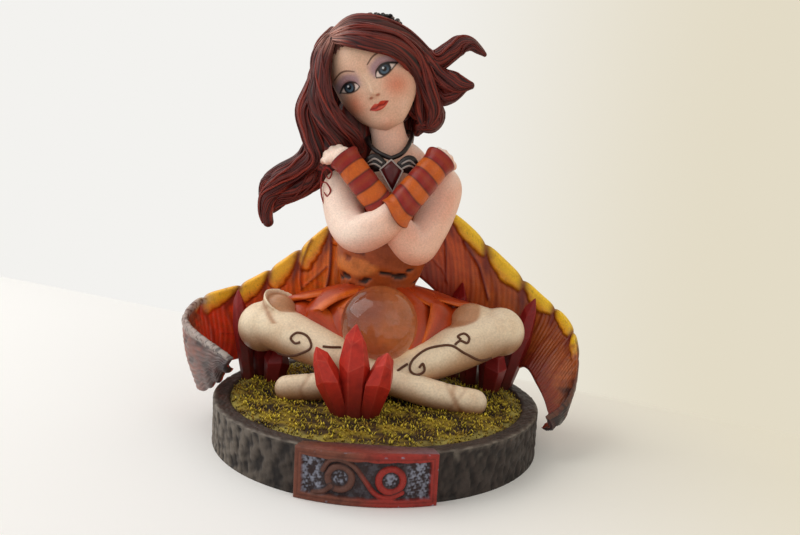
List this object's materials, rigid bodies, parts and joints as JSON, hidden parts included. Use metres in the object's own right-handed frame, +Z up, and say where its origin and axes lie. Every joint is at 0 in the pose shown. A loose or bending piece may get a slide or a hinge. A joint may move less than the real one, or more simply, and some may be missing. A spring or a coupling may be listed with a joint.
{
  "type": "fairy figurine",
  "caption": "Painted resin fairy sitting cross-legged on a round base, with glued wings and a clear glass ball in the lap.",
  "frame": {"origin": "centre of the round base's flat underside", "axes": "+Z up, -Y towards the viewer and the plaque, +X to the viewer's right"},
  "size_m": [0.141, 0.112, 0.1436],
  "materials": {
    "painted_resin": "cast polyresin, hand painted in skin, hair, leather, bark and grass colours, satin",
    "wing_resin": "thin cast polyresin, glazed amber and red over yellow, satin",
    "clear_glass": "solid clear glass, polished"
  },
  "bodies": {
    "root": {"figure_casting": "painted_resin", "left_wing": "wing_resin", "right_wing": "wing_resin", "crystal_ball": "clear_glass"}
  },
  "joints": []
}
